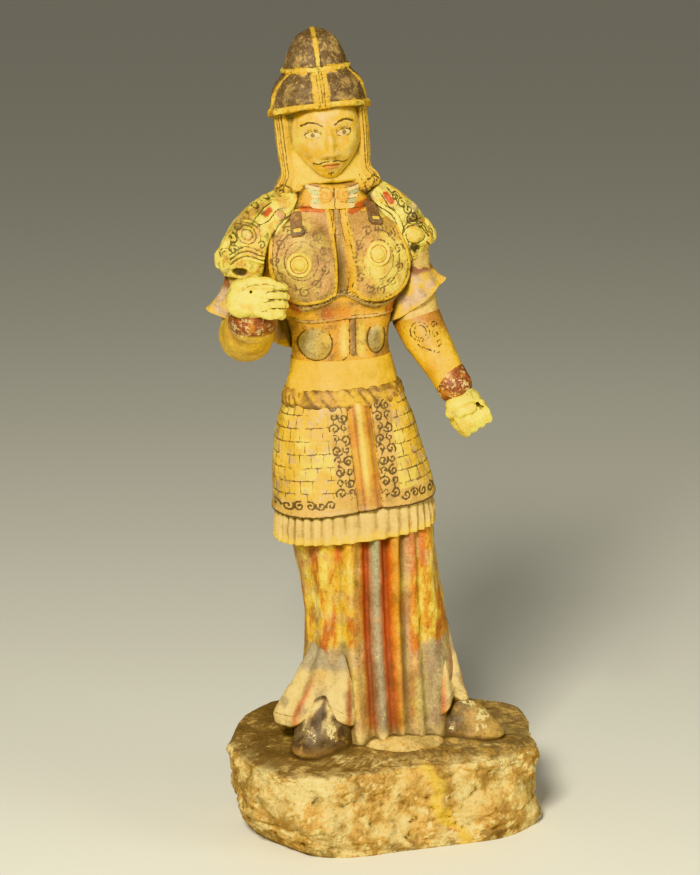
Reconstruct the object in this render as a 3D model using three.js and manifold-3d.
// Tomb guard in painted and partly glazed terracotta, standing on a rough rock slab.
// Millimetres, +Z up. The figure faces -Y, and +X is the side of its left hand.
// Everything is modelled as closed forms that are joined into one fired solid.

import * as THREE from 'three';
import { mergeVertices } from 'three/addons/utils/BufferGeometryUtils.js';
import Module from 'manifold-3d';

const wasm = await Module();
wasm.setup();

// ---- driving dimensions -------------------------------------------------------------------------

const SLAB_TOP = 78;
const HEM_Z = 276;
const BELT_Z = 402;

const HEAD_PIVOT = new THREE.Vector3(-54.7, 0, 632);
const HEAD_LEAN = -0.1;
const HEAD_YAW = -0.105;
const HIP_ROLL = 0.095;

const SIMPLIFY = 0.46;

// ---- small maths --------------------------------------------------------------------------------

const clamp01 = (value) => Math.min(1, Math.max(0, value));

const smooth = (from, to, value) => {
  const t = clamp01((value - from) / (to - from));
  return t * t * (3 - 2 * t);
};

const bump = (distance, width) => Math.exp(-((distance / width) ** 2));

const signedPower = (value, power) => Math.sign(value) * Math.abs(value) ** power;

const vec = (x, y, z) => new THREE.Vector3(x, y, z);

/** Value of one key at height z, on a smooth curve through stations listed by rising z. */
function stationValue(stations, key, z, fallback) {
  const value = (index) => stations[index][key] ?? fallback;
  const last = stations.length - 1;
  if (z <= stations[0].z) return value(0);
  if (z >= stations[last].z) return value(last);
  let i = 0;
  while (stations[i + 1].z < z) i += 1;
  const slope = (index) => {
    const low = Math.max(0, index - 1);
    const high = Math.min(last, index + 1);
    return (value(high) - value(low)) / (stations[high].z - stations[low].z);
  };
  const span = stations[i + 1].z - stations[i].z;
  const t = (z - stations[i].z) / span;
  const rise = t * t * (3 - 2 * t);
  const enter = t * (1 - t) * (1 - t) * span * slope(i);
  const leave = t * t * (t - 1) * span * slope(i + 1);
  return value(i) + (value(i + 1) - value(i)) * rise + enter + leave;
}

// ---- from three.js geometry to solids -----------------------------------------------------------

/** Closed triangle mesh to a solid. Triangles that merging has collapsed are dropped. */
function toSolid(geometry) {
  const bare = geometry.clone();
  bare.deleteAttribute('normal');
  bare.deleteAttribute('uv');
  const merged = mergeVertices(bare, 1e-3);
  const corners = merged.index.array;
  const kept = [];
  for (let i = 0; i < corners.length; i += 3) {
    const [a, b, c] = [corners[i], corners[i + 1], corners[i + 2]];
    if (a !== b && b !== c && c !== a) kept.push(a, b, c);
  }
  const mesh = new wasm.Mesh({
    numProp: 3,
    vertProperties: new Float32Array(merged.attributes.position.array),
    triVerts: new Uint32Array(kept),
  });
  return new wasm.Manifold(mesh);
}

function toGeometry(solid) {
  const mesh = solid.getMesh();
  const indexed = new THREE.BufferGeometry();
  indexed.setAttribute('position', new THREE.BufferAttribute(mesh.vertProperties, 3));
  indexed.setIndex(new THREE.BufferAttribute(mesh.triVerts, 1));
  indexed.computeVertexNormals();
  return indexed;
}

/** Moves every vertex of a geometry to where place(vertex) puts it. */
function deformed(geometry, place) {
  const position = geometry.attributes.position;
  const vertex = new THREE.Vector3();
  for (let i = 0; i < position.count; i += 1) {
    vertex.fromBufferAttribute(position, i);
    const moved = place(vertex);
    position.setXYZ(i, moved.x, moved.y, moved.z);
  }
  return geometry;
}

/** Barrel of rings: surface(angle, t) for angle 0 at the front and t from 0 below to 1 above. */
function barrel(sides, rows, surface) {
  const cylinder = new THREE.CylinderGeometry(1, 1, 1, sides, rows);
  const shape = deformed(cylinder, (vertex) => {
    const angle = Math.atan2(vertex.x, vertex.z);
    const t = vertex.y + 0.5;
    if (Math.hypot(vertex.x, vertex.z) > 0.5) return surface(angle, t);
    const middle = vec(0, 0, 0);
    for (let i = 0; i < 8; i += 1) middle.addScaledVector(surface((i * Math.PI) / 4, t), 1 / 8);
    return middle;
  });
  return toSolid(shape);
}

/** Ball with displacement: shape(direction) gives the surface point for a unit direction. */
function ball(sides, rows, shape) {
  return toSolid(deformed(new THREE.SphereGeometry(1, sides, rows), (vertex) => shape(vertex)));
}

/** Ellipsoid of three half sizes, turned by Euler angles, at a centre. */
function ellipsoid(centre, sizes, turns = [0, 0, 0], sides = 10, rows = 6) {
  const turn = new THREE.Euler(...turns);
  return ball(sides, rows, (d) => (
    vec(d.x * sizes[0], d.y * sizes[1], d.z * sizes[2]).applyEuler(turn).add(centre)
  ));
}

/** Round-ended limb along a smooth path. Each node is [x, y, z, radius, flattening]. */
function limb(nodes, sides = 10, rows = 10) {
  const path = new THREE.CatmullRomCurve3(nodes.map(([x, y, z]) => vec(x, y, z)));
  const capShare = 0.2;
  const frames = path.computeFrenetFrames(rows * 4, false);
  const pick = (list, t) => list[Math.round(t * rows * 4)];
  const radiusAt = (t, slot, fallback) => {
    const place = t * (nodes.length - 1);
    const i = Math.min(nodes.length - 2, Math.floor(place));
    const from = nodes[i][slot] ?? fallback;
    const to = nodes[i + 1][slot] ?? fallback;
    return from + (to - from) * smooth(0, 1, place - i);
  };
  return ball(sides, rows, (d) => {
    const share = Math.acos(Math.min(1, Math.max(-1, -d.y))) / Math.PI;
    const t = clamp01((share - capShare) / (1 - 2 * capShare));
    const ahead = share < 0.5 ? Math.min(1, share / capShare) : Math.min(1, (1 - share) / capShare);
    const radius = radiusAt(t, 3, 5);
    const flat = radiusAt(t, 4, 1);
    const ringRadius = radius * Math.sin((ahead * Math.PI) / 2);
    const back = radius * Math.cos((ahead * Math.PI) / 2) * (share < 0.5 ? -1 : 1);
    const around = Math.atan2(d.x, d.z);
    const point = path.getPoint(t);
    point.addScaledVector(pick(frames.tangents, t), back);
    point.addScaledVector(pick(frames.normals, t), ringRadius * Math.cos(around) * flat);
    point.addScaledVector(pick(frames.binormals, t), ringRadius * Math.sin(around));
    return point;
  });
}

function join(solids) {
  return wasm.Manifold.union(solids);
}

// ---- columns: the big forms of the figure -------------------------------------------------------

/** Upright form through stations of centre x, y, half sizes rx, ry and squareness n. */
class Column {
  constructor(stations, { roll = 0, relief = () => 0, rise = () => 0 } = {}) {
    this.stations = stations;
    this.roll = roll;
    this.relief = relief;
    this.rise = rise;
    this.low = stations[0].z;
    this.high = stations[stations.length - 1].z;
  }

  /** Surface point at an angle from the front and a height, lifted off the surface by lift. */
  point(angle, z, lift = 0) {
    const at = (key, fallback) => stationValue(this.stations, key, z, fallback);
    const [rx, ry, power] = [at('rx', 1), at('ry', 1), 2 / at('n', 2.2)];
    const east = signedPower(Math.sin(angle), power);
    const south = signedPower(-Math.cos(angle), power);
    const out = vec(east / rx, south / ry, 0).normalize();
    const spot = vec(at('x', 0) + rx * east, at('y', 0) + ry * south, z + this.roll * rx * east);
    spot.z += this.rise(angle, z);
    return spot.addScaledVector(out, lift + this.relief(angle, spot));
  }

  /** Surface point on the front, found by its x instead of its angle. */
  front(x, z, lift = 0) {
    let [low, high] = [-1.5, 1.5];
    for (let i = 0; i < 22; i += 1) {
      const middle = (low + high) / 2;
      if (this.point(middle, z, lift).x < x) low = middle;
      else high = middle;
    }
    return this.point((low + high) / 2, z, lift);
  }

  solid(sides, rows, stretch = (t) => t) {
    const height = this.high - this.low;
    return barrel(sides, rows, (angle, t) => this.point(angle, this.low + height * stretch(t)));
  }
}

// ---- rock slab ----------------------------------------------------------------------------------

const SLAB_RIM = [
  [-139, 7], [-137, -44], [-114, -86], [-81, -106], [-50, -101], [-6, -88], [40, -87], [88, -80],
  [122, -57], [137, -21], [144, 40], [133, 62], [84, 86], [10, 97], [-60, 104], [-95, 96], [-126, 62],
];
const SLAB_FOOT = [
  [-118, 7], [-114, -34], [-99, -60], [-78, -88], [-43, -95], [-5, -89], [42, -83], [92, -74],
  [126, -50], [139, -24], [140, 36], [126, 58], [80, 80], [10, 90], [-56, 96], [-88, 84], [-110, 52],
];

/** Closed outline through rim points, as a function of a share from 0 to 1 around it. */
function outline(points) {
  const corners = points.map(([x, y]) => vec(x, y, 0));
  return new THREE.CatmullRomCurve3(corners, true, 'centripetal');
}

function slab() {
  const rim = outline(SLAB_RIM);
  const foot = outline(SLAB_FOOT);
  const levels = [
    { z: 0, scale: 0.985, up: 0 }, { z: 5, scale: 1.005, up: 0.15 }, { z: 14, scale: 1.005, up: 0.5 },
    { z: 30, scale: 1.0, up: 0.82 }, { z: 56, scale: 1.0, up: 0.96 }, { z: 70, scale: 1.0, up: 1 },
    { z: 75.5, scale: 0.985, up: 1 }, { z: SLAB_TOP, scale: 0.95, up: 1 }, { z: 80.5, scale: 0.84, up: 1 },
    { z: 85, scale: 0.55, up: 1 },
  ];
  const rows = levels.length - 1;
  return barrel(32, rows, (angle, t) => {
    const level = levels[Math.round(t * rows)];
    const share = (1.25 + angle / (2 * Math.PI)) % 1;
    const spot = foot.getPointAt(share).lerp(rim.getPointAt(share), level.up);
    const knobs = Math.sin(5 * angle + 0.13 * level.z) + Math.sin(9 * angle - 0.07 * level.z + 2);
    const wobble = level.z > 0 && level.z < 76 ? 1.4 * knobs : 0;
    const reach = level.scale + wobble / 110;
    const dip = level.z > 72 ? 0.11 * Math.max(0, spot.y) + 0.9 * Math.sin(3 * angle + level.z) : 0;
    return vec(spot.x * reach, spot.y * reach, level.z + dip);
  });
}

// ---- robe, trouser hems and boots ---------------------------------------------------------------

// Each fold runs from x at the hem to x at the slab; depth is outward, so grooves are negative.
const FRONT_FOLDS = [
  { top: -82, foot: -74, width: 5, depth: 3.0 },
  { top: -73, foot: -62, width: 4, depth: -3.5 },
  { top: -62, foot: -50, width: 7, depth: 3.0 },
  { top: -51, foot: -38, width: 3.5, depth: -3.5 },
  { top: -42, foot: -31, width: 5, depth: 3.5 },
  { top: -35, foot: -24, width: 3, depth: -3.0 },
  { top: -28, foot: -17.5, width: 3.6, depth: -8.5 },
  { top: -18.5, foot: -10, width: 4.4, depth: 3.5 },
  { top: -9.5, foot: 3, width: 4.4, depth: -8.5 },
  { top: -1, foot: 9, width: 4.2, depth: 4.0 },
  { top: 6, foot: 14, width: 3.6, depth: -5.0 },
  { top: 14, foot: 26, width: 6, depth: 3.5 },
  { top: 21, foot: 34, width: 3.5, depth: -2.8 },
  { top: 31, foot: 44, width: 6, depth: 2.6 },
];
const BACK_FOLDS = [-66, -46, -27, -8, 12, 32];

function robeRelief(angle, spot) {
  const down = clamp01((HEM_Z - spot.z) / (HEM_Z - SLAB_TOP));
  if (Math.cos(angle) > 0) {
    const depths = FRONT_FOLDS.map(({ top, foot, width, depth }) => (
      depth * bump(spot.x - (top + (foot - top) * down), width * (1 + 0.35 * down))
    ));
    return depths.reduce((sum, depth) => sum + depth, 0) * smooth(0, 0.35, Math.cos(angle));
  }
  const waves = BACK_FOLDS.map((x, i) => (i % 2 ? 3.2 : -4.2) * bump(spot.x - x - 14 * down, 8));
  return waves.reduce((sum, wave) => sum + wave, 0) * smooth(0, 0.4, -Math.cos(angle));
}

const robe = new Column([
  { z: 80, x: -6, y: 6, rx: 72, ry: 47, n: 2.3 },
  { z: 115, x: -6, y: 7, rx: 73, ry: 47, n: 2.3 },
  { z: 140, x: -3, y: 8, rx: 71, ry: 46, n: 2.3 },
  { z: 172, x: -5.5, y: 9, rx: 66, ry: 45, n: 2.3 },
  { z: 208, x: -8.5, y: 8, rx: 63.5, ry: 46, n: 2.3 },
  { z: 250, x: -16.5, y: 6, rx: 63.5, ry: 50, n: 2.3 },
  { z: 290, x: -24, y: 5, rx: 66, ry: 53, n: 2.3 },
], { relief: robeRelief });

const BELL_OPENING = 17;

/** Bell of a trouser leg over a boot, with a curled edge that opens toward the toe. */
function trouserBell({ x, y, reach, depth, lean, foot, top, toe }) {
  const bell = new Column([
    { z: foot, x: x + lean, y, rx: reach * 0.97, ry: depth, n: 2.1 },
    { z: foot + 9, x: x + lean * 0.9, y, rx: reach, ry: depth, n: 2.1 },
    { z: 124, x: x + lean * 0.6, y, rx: reach * 0.9, ry: depth * 0.95, n: 2.1 },
    { z: 144, x, y, rx: reach * 0.7, ry: depth * 0.84, n: 2.1 },
    { z: top, x: x - lean, y: y + 10, rx: reach * 0.4, ry: depth * 0.5, n: 2.1 },
  ], {
    relief: (angle) => 2.2 * Math.sin(7 * angle) - 3 * bump(angle - toe, 0.3),
    rise: (angle, z) => BELL_OPENING * bump(angle - toe, 0.45) * smooth(144, foot, z),
  });
  return bell.solid(18, 4);
}

/** Short wide boot: sole, instep and a rounded toe that points along heading from the front. */
function boot({ x, y, heading, length, width, height }) {
  const turn = new THREE.Euler(0, 0, heading);
  return ball(11, 7, (d) => {
    const along = d.y < 0 ? d.y * length * 0.6 : d.y * length * 0.4;
    const instep = d.y > -0.35 ? 1 : 1 - 0.42 * smooth(0.35, 0.95, -d.y);
    const spot = vec(d.x * width, along, d.z > 0 ? d.z * height * instep : d.z * 12);
    return spot.applyEuler(turn).add(vec(x, y, SLAB_TOP + 6));
  });
}

function legs() {
  return [
    robe.solid(50, 7),
    trouserBell({ x: -54, y: -12, reach: 42, depth: 36, lean: -7, foot: 103, top: 176, toe: -0.2 }),
    trouserBell({ x: 45, y: 2, reach: 32, depth: 34, lean: -1, foot: 102, top: 186, toe: 0.6 }),
    boot({ x: -61, y: -29, heading: -0.82, length: 64, width: 24, height: 53 }),
    boot({ x: 66, y: -14, heading: 1.2, length: 70, width: 22, height: 31 }),
    ellipsoid(vec(-2, -20, 84), [34, 34, 9]),
  ];
}

// ---- armour skirt, pleated hem and belt ---------------------------------------------------------

/** Edge where the two front flaps of the skirt end: they dip between centre strip and side. */
function flapEdge(angle) {
  const front = Math.max(0, Math.cos(angle));
  return -4 * front * Math.sin(Math.min(Math.PI, Math.abs(angle - 0.12) * 1.6));
}

const skirt = new Column([
  { z: 303.5, x: -28, y: 4, rx: 72, ry: 57, n: 2.3 },
  { z: 314, x: -28.5, y: 4, rx: 71.5, ry: 56, n: 2.3 },
  { z: 335, x: -32, y: 4, rx: 68.5, ry: 54, n: 2.3 },
  { z: 350, x: -34, y: 4, rx: 66, ry: 52, n: 2.3 },
  { z: 372, x: -36.5, y: 3, rx: 61.5, ry: 48, n: 2.3 },
  { z: 388, x: -38, y: 2, rx: 56.5, ry: 44, n: 2.3 },
  { z: 404, x: -38.5, y: 2, rx: 50, ry: 39, n: 2.3 },
], {
  roll: HIP_ROLL,
  rise: (angle, z) => flapEdge(angle) * (1 - smooth(304, 332, z)),
  relief: (angle, spot) => {
    const strip = -33 + (BELT_Z - spot.z) * 0.09;
    const groove = Math.cos(angle) > 0 ? -2.6 * bump(Math.abs(spot.x - strip) - 10.5, 1.8) : 0;
    const raised = Math.cos(angle) > 0 ? 1.8 * bump(spot.x - strip, 6) : 0;
    return groove + raised;
  },
});

const HEM_PLEATS = 40;

const hem = new Column([
  { z: HEM_Z, x: -27, y: 4, rx: 71.5, ry: 57.5, n: 2.3 },
  { z: HEM_Z + 14, x: -27, y: 4, rx: 71, ry: 56.5, n: 2.3 },
  { z: HEM_Z + 34, x: -28, y: 4, rx: 68, ry: 53.5, n: 2.3 },
], {
  roll: HIP_ROLL,
  relief: (angle, spot) => 1.5 * Math.cos(HEM_PLEATS * angle) * smooth(HEM_Z + 34, HEM_Z + 14, spot.z),
});

const sash = new Column([
  { z: 404, x: -39, y: 2, rx: 50.5, ry: 40, n: 2.2 },
  { z: 412, x: -39, y: 2, rx: 49, ry: 39, n: 2.2 },
  { z: 424, x: -39, y: 2, rx: 46, ry: 37.5, n: 2.2 },
  { z: 434, x: -40, y: 2, rx: 44, ry: 36, n: 2.2 },
], { roll: 0.04 });

/** Twisted rope belt, lying lower at the front of the figure's right hip. */
const belt = new Column([
  { z: 392, x: -38.5, y: 2, rx: 53, ry: 42, n: 2.2 },
  { z: 395, x: -38.5, y: 2, rx: 55.5, ry: 44.5, n: 2.2 },
  { z: 401, x: -38.5, y: 2, rx: 56, ry: 45, n: 2.2 },
  { z: 407, x: -38.5, y: 2, rx: 53.5, ry: 42.5, n: 2.2 },
  { z: 409, x: -38.5, y: 2, rx: 50, ry: 40, n: 2.2 },
], {
  roll: 0.05,
  relief: (angle, spot) => 0.9 * Math.sin(18 * angle + 0.35 * (spot.z - 400)),
});

function hips() {
  return [skirt.solid(38, 5), hem.solid(HEM_PLEATS * 2, 1), sash.solid(24, 1), belt.solid(36, 3)];
}

// ---- trunk --------------------------------------------------------------------------------------

const BREASTS = [{ x: -83, z: 516 }, { x: -16, z: 521 }];
const BREAST_SWELL = 5.2;
const BOSSES = [{ x: -85, z: 520, turn: -0.36 }, { x: -16, z: 528, turn: 0.42 }];
const STRAP_WIDTH = 10.6;
const CORD_TOP = { x: -54, z: 580 };
const CORD_FORK = { x: -47, z: 492 };

const trunk = new Column([
  { z: 400, x: -39, y: 2, rx: 49, ry: 38, n: 2.2 },
  { z: 425, x: -39.5, y: 2, rx: 44, ry: 35.5, n: 2.2 },
  { z: 441, x: -40.5, y: 2, rx: 43, ry: 35, n: 2.2 },
  { z: 456, x: -41.5, y: 2, rx: 43.5, ry: 35, n: 2.2 },
  { z: 475, x: -44, y: 2, rx: 50, ry: 37, n: 2.3 },
  { z: 511, x: -45, y: 3, rx: 61, ry: 41, n: 2.5 },
  { z: 535, x: -46.5, y: 4, rx: 63, ry: 40, n: 2.5 },
  { z: 553, x: -48, y: 5, rx: 55, ry: 35, n: 2.3 },
  { z: 570, x: -49, y: 5, rx: 40, ry: 28, n: 2.1 },
  { z: 584, x: -49.5, y: 4, rx: 29, ry: 24, n: 2.0 },
], {
  relief: (angle, spot) => {
    if (Math.cos(angle) < 0) return 2.5 * bump(spot.z - 530, 24);
    const plates = BREASTS.map(({ x, z }) => {
      const away = Math.hypot((spot.x - x) / 34, (spot.z - z) / 43);
      return BREAST_SWELL * smooth(1.08, 0.72, away);
    });
    return Math.max(...plates) * smooth(0, 0.3, Math.cos(angle));
  },
});

/** Cord laid on the front of the trunk through x, z pairs. */
function trunkCord(pairs, radius, rows) {
  return limb(pairs.map(([x, z]) => [...trunk.front(x, z, 1).toArray(), radius]), 5, rows);
}

/** Round boss in a raised ring, set on a breastplate. */
function breastBoss({ x, z, turn }) {
  const profile = [
    [0, -5], [10.8, -5], [10.6, 1.6], [9.2, 2.2],
    [7.4, 1.0], [5.4, 1.4], [3.4, 3.6], [0, 4.4],
  ];
  const points = profile.map(([radius, height]) => new THREE.Vector2(radius, height));
  const disc = new THREE.LatheGeometry(points, 12);
  const centre = trunk.front(x, z, 0);
  disc.rotateX(Math.PI);
  disc.rotateZ(turn);
  disc.translate(centre.x, centre.y, centre.z);
  return toSolid(disc);
}

/** Flat bar laid on the trunk between two front spots, width across and thick outward. */
function trunkBar(from, to, width, thick) {
  const up = to.clone().sub(from);
  const out = vec(1, 0, 0).cross(up).normalize();
  const side = up.clone().cross(out).normalize();
  const bar = new THREE.BoxGeometry(width, thick, up.length());
  const middle = from.clone().lerp(to, 0.5);
  const axes = new THREE.Matrix4().makeBasis(side, out.negate(), up.clone().normalize());
  bar.applyMatrix4(axes.setPosition(middle));
  return toSolid(bar);
}

function bellyPlate(x, z, rx, rz) {
  const centre = trunk.front(x, z, -2);
  return ellipsoid(centre, [rx, 5.5, rz], [0, 0, (x - trunk.stations[2].x) * 0.016], 11, 6);
}

function bust() {
  const { x: topX, z: topZ } = CORD_TOP;
  const { x: forkX, z: forkZ } = CORD_FORK;
  const middleX = (topX + forkX) / 2;
  return [
    trunk.solid(34, 11),
    ...BOSSES.map(breastBoss),
    trunkBar(trunk.front(-85.5, 543, 0.6), trunk.front(-84, 563, 0.6), STRAP_WIDTH, 5),
    trunkBar(trunk.front(-85.5, 545, 1.6), trunk.front(-85.2, 551, 1.6), STRAP_WIDTH + 1.6, 5),
    trunkBar(trunk.front(-16, 552, 0.6), trunk.front(-18.5, 570, 0.6), STRAP_WIDTH, 5),
    trunkBar(trunk.front(-16, 553, 1.6), trunk.front(-16.6, 559, 1.6), STRAP_WIDTH + 1.6, 5),
    trunkCord([[topX, topZ], [middleX - 1, 556], [middleX, 524], [forkX, forkZ]], 3.4, 8),
    trunkCord([[forkX, forkZ], [-56, 482], [-72, 472], [-86, 473]], 2.6, 7),
    trunkCord([[forkX, forkZ], [-38, 483], [-24, 477], [-8, 478]], 2.6, 7),
    trunkCord([[-84, 464], [-66, 467], [-44, 469], [-22, 470], [-6, 472]], 1.8, 7),
    trunkCord([[-43, 468], [-42.5, 450], [-42, 436]], 2.8, 5),
    bellyPlate(-72, 451, 13, 14),
    bellyPlate(-13, 456, 9, 12.5),
  ];
}

// ---- arms ---------------------------------------------------------------------------------------

const RIGHT_ARM = [[-112, 6, 540, 25], [-119, 8, 495, 23], [-123.5, 7, 454, 23]];
const RIGHT_FOREARM = [[-123.5, 8, 453, 24], [-126, -22, 462, 22], [-128, -52, 479, 18.5]];
const LEFT_ARM = [[14, 6, 540, 24], [22, 4, 500, 21], [28, 1, 467, 21]];
const LEFT_FOREARM = [[28, 2, 466, 21.5], [35, -8, 448, 20], [45, -21, 428, 17], [53, -30, 410, 14.5]];

/** Sleeve funnel round the upper arm. Its rim is an ellipse, tipped up on the outer side. */
function funnel({ centre, tip, reach, depth, arm, armRadius, armZ }) {
  return barrel(16, 3, (angle, t) => {
    const flare = (1 - t) ** 1.6;
    const rx = armRadius + (reach - armRadius) * flare;
    const ry = armRadius + (depth - armRadius) * flare;
    const frill = 1 + 0.06 * Math.sin(5 * angle + 1) * flare;
    const x = arm.x + (centre.x - arm.x) * flare + rx * Math.sin(angle) * frill;
    const y = arm.y + (centre.y - arm.y) * flare - ry * Math.cos(angle) * frill;
    const z = armZ + (centre.z - armZ) * (1 - t) + tip * rx * Math.sin(angle) * flare;
    return vec(x, y, z);
  });
}

const RIGHT_FUNNEL = {
  centre: vec(-121, 16, 458), tip: -0.5, reach: 37, depth: 27, arm: vec(-116, 8, 0), armRadius: 23, armZ: 520,
};
const LEFT_FUNNEL = {
  centre: vec(27, 6, 480), tip: 0.72, reach: 27, depth: 29, arm: vec(18, 5, 0), armRadius: 21, armZ: 524,
};

/** Closed fist round a lost shaft: four finger rolls in front, the heel behind, thumb on top. */
function fist({ centre, turn, size, bore }) {
  const spin = new THREE.Quaternion().setFromEuler(turn);
  const place = new THREE.Matrix4().compose(centre, spin, vec(size, size, size));
  const moved = (nodes) => (
    nodes.map(([x, y, z, radius]) => [...vec(x, y, z).applyMatrix4(place).toArray(), radius * size])
  );
  const block = ball(12, 14, (d) => {
    // The poles of the ball lie on the shaft, so its rows cross the fingers.
    const along = signedPower(d.y, 0.85) * 17.5;
    const roll = Math.cos(((along + 17) / 8.6) * 2 * Math.PI);
    const fingers = smooth(-0.35, 0.35, d.x + 0.4 * d.z) * (1 - 0.8 * Math.abs(d.y) ** 3);
    const reach = 1 - 0.09 * fingers * (1 + roll) * 0.9;
    const across = signedPower(d.x, 0.82) * 19 * reach;
    const deep = -signedPower(d.z, 0.82) * 16.5 * reach;
    return vec(across, deep, along).applyMatrix4(place);
  });
  const thumb = limb(moved([[-12, 4, 12, 6], [-7, -7, 15.5, 5.8], [4, -12, 15, 5]]), 6, 5);
  const hole = new THREE.CylinderGeometry(bore / 2, bore / 2, 26, 8);
  hole.rotateX(Math.PI / 2);
  hole.translate(4, -3, 18);
  hole.applyMatrix4(place);
  return join([block, thumb]).subtract(toSolid(hole));
}

const RIGHT_FIST = {
  centre: vec(-127, -70, 496), turn: new THREE.Euler(-0.25, 0.1, 0), size: 1.08, bore: 5.5,
};
const LEFT_FIST = {
  centre: vec(65.5, -38, 385.5), turn: new THREE.Euler(1.35, 0.28, 0.35), size: 1.13, bore: 7,
};

function arms() {
  return [
    limb(RIGHT_ARM, 10, 6), limb(RIGHT_FOREARM, 12, 7), funnel(RIGHT_FUNNEL), fist(RIGHT_FIST),
    limb(LEFT_ARM, 10, 6), limb(LEFT_FOREARM, 11, 7), funnel(LEFT_FUNNEL), fist(LEFT_FIST),
    limb([[-127.5, -46, 474, 20.5], [-128, -54, 480, 20.5]], 12, 5),
    limb([[51, -27, 416, 15.6], [55.5, -31, 407.5, 15.6]], 11, 5),
  ];
}

// ---- shoulder guards in the shape of beast heads ------------------------------------------------

const RIGHT_GUARD = new Column([
  { z: 507, x: -126, y: 5, rx: 18, ry: 27, n: 2.2 },
  { z: 513, x: -125.5, y: 5, rx: 21.5, ry: 30, n: 2.2 },
  { z: 519, x: -124.5, y: 5, rx: 23.5, ry: 31.5, n: 2.2 },
  { z: 534, x: -119.5, y: 5, rx: 24, ry: 33, n: 2.2 },
  { z: 553, x: -109, y: 6, rx: 23, ry: 32, n: 2.2 },
  { z: 567, x: -97, y: 7, rx: 21.5, ry: 27, n: 2.2 },
  { z: 577, x: -87, y: 8, rx: 15, ry: 19, n: 2.1 },
  { z: 583, x: -79, y: 8, rx: 6, ry: 9, n: 2.0 },
], { relief: guardRelief });

const LEFT_GUARD = new Column([
  { z: 519, x: 14, y: 8, rx: 20, ry: 27, n: 2.2 },
  { z: 526, x: 14, y: 8, rx: 23, ry: 30, n: 2.2 },
  { z: 536, x: 14.5, y: 8, rx: 29.5, ry: 32, n: 2.2 },
  { z: 548, x: 10.5, y: 8, rx: 27.5, ry: 32, n: 2.2 },
  { z: 563, x: 3.5, y: 8, rx: 24.5, ry: 28, n: 2.2 },
  { z: 578, x: -6, y: 8, rx: 18.5, ry: 20, n: 2.1 },
  { z: 587, x: -14, y: 8, rx: 10.5, ry: 11, n: 2.0 },
], { relief: guardRelief });

/** Locks of the mane: shallow rolls that run down over the shoulder. */
function guardRelief(angle, spot) {
  return 1.1 * Math.sin(7 * angle + 0.12 * spot.z) * smooth(585, 560, spot.z);
}

/** Beast-head guard: brow, eye, mane curls and the lip that flares over the sleeve. */
function shoulderGuard(dome, side, lip) {
  const on = (angle, z, lift, radius) => [...dome.point(side * angle, z, lift).toArray(), radius];
  const curl = (angle, z, size) => {
    const turns = [];
    for (let i = 0; i <= 6; i += 1) {
      const sweep = (i / 6) * 4.4;
      const out = size * (1 - i / 9);
      turns.push(on(angle + (out * Math.cos(sweep)) / 28, z + out * Math.sin(sweep), 0.2, 2.2));
    }
    return limb(turns, 4, 7);
  };
  const eye = on(0.55, lip + 27, -1.5, 0);
  return [
    dome.solid(20, 8),
    ellipsoid(vec(eye[0], eye[1], eye[2]), [6.5, 5.5, 5.5]),
    limb([on(0.1, lip + 33, 0.4, 2.4), on(0.6, lip + 36, 1, 3), on(1.2, lip + 29, 0.4, 2.4)], 5, 6),
    limb([on(-0.1, lip + 8, 0.4, 2.6), on(0.5, lip + 12, 1.4, 3.4), on(1.1, lip + 10, 1.4, 3.4),
      on(1.6, lip + 4, 0.4, 3.2)], 5, 7),
    limb([on(1.35, lip + 24, -2, 5), on(1.5, lip + 13, -1.5, 5.5), on(1.57, lip + 5, -2, 4.4)], 6, 5),
    curl(0.1, lip + 47, 5.5),
    curl(-0.15, lip + 24, 4.5),
  ];
}

// ---- neck, collar and head ----------------------------------------------------------------------

const headFrame = new THREE.Matrix4().compose(
  HEAD_PIVOT,
  new THREE.Quaternion().setFromEuler(new THREE.Euler(0, HEAD_LEAN, HEAD_YAW)),
  vec(1, 1, 1),
);

const inHead = (point) => point.applyMatrix4(headFrame);

const collar = new Column([
  { z: 566, x: -50, y: 2, rx: 33, ry: 29, n: 2.1 },
  { z: 576, x: -49.5, y: 2, rx: 28.5, ry: 26.5, n: 2.1 },
  { z: 590, x: -49.5, y: 2, rx: 27.5, ry: 25.5, n: 2.1 },
], { rise: (angle, z) => -7 * Math.max(0, Math.cos(angle)) ** 2 * smooth(566, 590, z) });

const FACE = {
  halfWidth: 31.5, depth: 42, crown: 43, chin: 43.5,
  eyeZ: -0.5, eyeX: 13.5, browZ: 6.5, noseZ: -20, mouthZ: -28.5, chinZ: -38,
};

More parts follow.
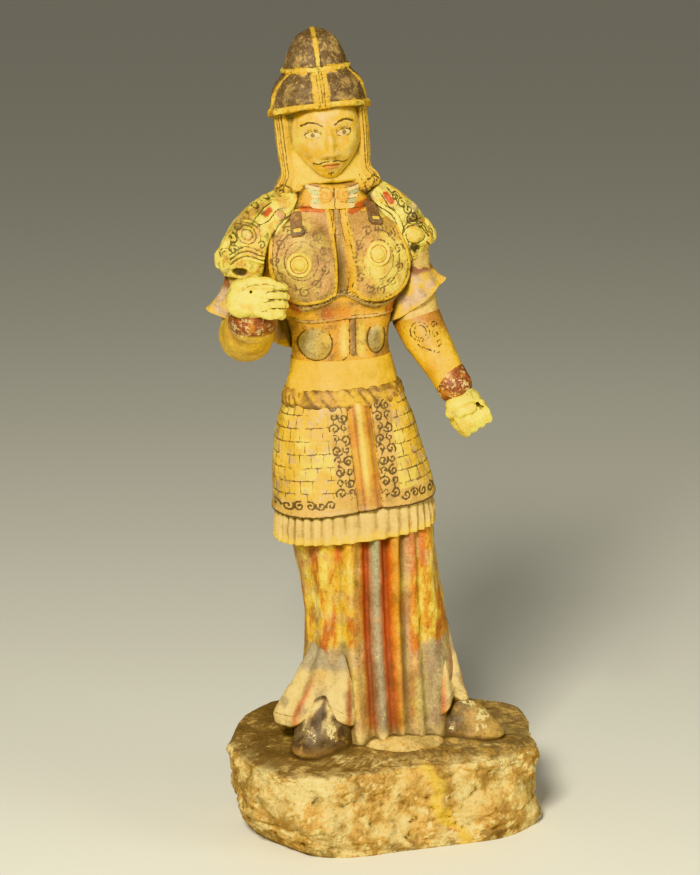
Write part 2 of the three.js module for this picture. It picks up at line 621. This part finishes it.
/** How far the calm, even face stands out from the plain head at x, z of the head frame. */
function faceRelief(x, z) {
  const f = FACE;
  const bridge = clamp01((f.browZ - z) / (f.browZ - f.noseZ));
  const ridge = z < f.browZ + 3 && z > f.noseZ - 3 ? 3 + 6 * bridge : 0;
  const tipFade = smooth(f.noseZ - 3, f.noseZ + 2, z) * smooth(f.browZ + 4, f.browZ - 4, z);
  const nose = ridge * bump(x, 3.4 + 2.2 * bridge) * tipFade;
  const wings = 2.6 * bump(Math.abs(x) - 5.6, 2.6) * bump(z - f.noseZ - 1.5, 3);
  const sockets = -3.4 * bump(Math.abs(x) - f.eyeX, 8.5) * bump(z - f.eyeZ, 5);
  const lids = 2.4 * bump(Math.abs(x) - f.eyeX, 6) * bump(z - f.eyeZ, 2.6);
  const brows = 1.8 * bump(Math.abs(x) - 13, 9) * bump(z - f.browZ - 1.5, 3);
  const lips = 2.4 * bump(x, 8.5) * (bump(z - f.mouthZ - 2, 1.9) + bump(z - f.mouthZ + 2.2, 2.1));
  const moustache = 1.3 * bump(Math.abs(x) - 8, 7) * bump(z - f.mouthZ - 5.6 + Math.abs(x) * 0.12, 1.8);
  const chin = 3.2 * bump(x, 9) * bump(z - f.chinZ, 5);
  const cheeks = 1.6 * bump(Math.abs(x) - 17, 8) * bump(z + 15, 9);
  return nose + wings + sockets + lids + brows + lips + moustache + chin + cheeks;
}

function head() {
  const f = FACE;
  return ball(26, 20, (d) => {
    const z = d.z > 0 ? d.z * f.crown : d.z * f.chin;
    const jaw = 1 - 0.2 * smooth(-8, -40, z);
    const x = d.x * f.halfWidth * jaw;
    const reach = d.y < 0 ? f.depth * (1 - 0.05 * smooth(-20, -42, z)) : 36;
    const y = d.y * reach;
    const facing = smooth(0.25, 0.8, -d.y + 0.5 * smooth(0.1, -0.8, d.z) * (d.y < 0 ? 1 : 0));
    return inHead(vec(x, y - faceRelief(x, z) * facing, z));
  });
}

/** Brim height in the head frame: arched over the brow, lower at the sides and back. */
const brimRise = (angle) => 7.5 * Math.max(0, Math.cos(angle)) ** 1.5;

const helmet = new Column([
  { z: 15.5, x: -3, y: 1, rx: 42.0, ry: 42.6, n: 2.05 },
  { z: 17.5, x: -3, y: 1, rx: 43.4, ry: 44.2, n: 2.05 },
  { z: 20.5, x: -3, y: 1, rx: 43.2, ry: 44.0, n: 2.05 },
  { z: 22, x: -3, y: 1, rx: 41.8, ry: 42.4, n: 2.05 },
  { z: 34, x: -2.6, y: 1, rx: 40.4, ry: 41.6, n: 2.05 },
  { z: 42, x: -2, y: 1, rx: 37.6, ry: 39.5, n: 2.05 },
  { z: 49, x: -2, y: 1.5, rx: 31.6, ry: 35, n: 2.0 },
  { z: 52.5, x: -2, y: 2, rx: 28.6, ry: 31.5, n: 2.0 },
  { z: 55, x: -2, y: 2, rx: 28.4, ry: 31, n: 2.0 },
  { z: 58, x: -2, y: 2, rx: 27.0, ry: 29.5, n: 2.0 },
  { z: 66, x: -1.5, y: 2, rx: 24.6, ry: 27, n: 2.0 },
  { z: 74, x: -1, y: 2, rx: 21.2, ry: 23, n: 2.0 },
  { z: 80, x: -1, y: 2, rx: 17, ry: 18.5, n: 2.0 },
  { z: 84.5, x: -1, y: 2, rx: 11.6, ry: 12.5, n: 2.0 },
  { z: 87.4, x: -1, y: 2, rx: 4.6, ry: 5, n: 2.0 },
  { z: 88, x: -1, y: 2, rx: 0.6, ry: 0.7, n: 2.0 },
], {
  rise: (angle, z) => brimRise(angle) * (1 - smooth(16, 44, z)),
  relief: (angle, spot) => {
    const tier = smooth(18, 26, spot.z) * (1 - smooth(48, 52, spot.z));
    const band = Math.cos(angle) > 0 ? bump(spot.x + 3, 7.5) * tier : 0;
    const ridge = bump(spot.x + 2, 2.2) * smooth(54, 58, spot.z) * (1 - smooth(76, 86, spot.z));
    const ring = bump(spot.z - 54, 2.2);
    return 1.3 * band + 1.5 * ridge + 1.0 * ring;
  },
});

/** Tube on the helmet in the head frame, along spots given as angle, height pairs. */
function helmetTrim(pairs, radius, rows) {
  return limb(pairs.map(([angle, z]) => [...inHead(helmet.point(angle, z, 0.2)).toArray(), radius]), 5, rows);
}

const coif = new Column([
  { z: -58, x: -3, y: 13, rx: 41, ry: 29, n: 2.6 },
  { z: -51, x: -2.5, y: 13, rx: 46, ry: 32, n: 2.8 },
  { z: -44, x: -1.5, y: 13, rx: 44, ry: 32.5, n: 3.0 },
  { z: -36, x: -2, y: 13, rx: 38.8, ry: 32, n: 3.2 },
  { z: -20, x: -2, y: 13, rx: 39.4, ry: 32, n: 3.2 },
  { z: 5, x: -2, y: 12.5, rx: 40.2, ry: 33, n: 3.2 },
  { z: 24, x: -2.5, y: 12, rx: 40.4, ry: 33, n: 3.0 },
], {});

/** Front edge of a neck flap: two ridges that end in a curl on the shoulder. */
function flapEdges(side) {
  const edge = (z, inset, lift) => inHead(coif.point(side * (0.86 - inset), z, lift));
  const outer = [20, 0, -20, -36, -48].map((z) => [...edge(z, 0.0, 0.2).toArray(), 1.9]);
  const inner = [20, 0, -20, -36, -46].map((z) => [...edge(z, 0.2, 0.2).toArray(), 1.7]);
  const curlCentre = edge(-51, -0.1, 1.0);
  const turns = [];
  for (let i = 0; i <= 7; i += 1) {
    const angle = 2.2 - side * 0.6 - (i / 7) * 5.2;
    const radius = 6.2 * (1 - i / 11);
    const x = curlCentre.x + side * radius * Math.cos(angle);
    turns.push([x, curlCentre.y, curlCentre.z + radius * Math.sin(angle), 1.9]);
  }
  const heart = ellipsoid(curlCentre, [5.5, 4, 5.5], [0, 0, 0], 8, 5);
  return [limb(outer, 5, 7), limb(inner, 5, 7), limb(turns, 4, 8), heart];
}

/** Scroll at each front end of the collar. */
function collarScroll(side) {
  const turns = [];
  const centre = collar.front(-54 + side * 8.5, 574, 1.2);
  for (let i = 0; i <= 7; i += 1) {
    const angle = 1.2 + (i / 7) * 5;
    const radius = 5 * (1 - i / 11);
    const x = centre.x + side * radius * Math.cos(angle);
    turns.push([x, centre.y - 0.4, centre.z + radius * Math.sin(angle), 1.5]);
  }
  return limb(turns, 4, 8);
}

function headgear() {
  const shell = barrel(28, 15, (angle, t) => {
    const heights = helmet.stations.map(({ z }) => z);
    const spread = t * (heights.length - 1);
    const i = Math.min(heights.length - 2, Math.floor(spread));
    return inHead(helmet.point(angle, heights[i] + (heights[i + 1] - heights[i]) * (spread - i)));
  });
  const neckCloth = barrel(24, 7, (angle, t) => inHead(coif.point(angle, -58 + 82 * t)));
  return [
    shell,
    neckCloth,
    helmetTrim([[-1.35, 19], [-1.2, 34], [-0.95, 46], [-0.85, 52]], 1.7, 6),
    helmetTrim([[1.35, 19], [1.2, 34], [0.95, 46], [0.85, 52]], 1.7, 6),
    ...flapEdges(-1),
    ...flapEdges(1),
    collar.solid(26, 3),
    collarScroll(-1),
    collarScroll(1),
  ];
}

// ---- the statue ---------------------------------------------------------------------------------

const solids = [
  slab(),
  ...legs(),
  ...hips(),
  ...bust(),
  ...arms(),
  ...shoulderGuard(RIGHT_GUARD, -1, 511),
  ...shoulderGuard(LEFT_GUARD, 1, 524),
  ...headgear(),
  head(),
];

/** Solid without the small voids that are trapped where forms meet. */
function withoutVoids(solid) {
  return join(solid.decompose().filter((shell) => shell.volume() > 0));
}

const statue = withoutVoids(withoutVoids(join(solids)).asOriginal().simplify(SIMPLIFY));

const terracotta = new THREE.MeshStandardMaterial({ color: 0xcfa45c, roughness: 0.72, metalness: 0 });

const group = new THREE.Group();
group.name = 'tomb_guard';
const warrior = new THREE.Mesh(toGeometry(statue), terracotta);
warrior.name = 'warrior_statue';
group.add(warrior);

export default group;
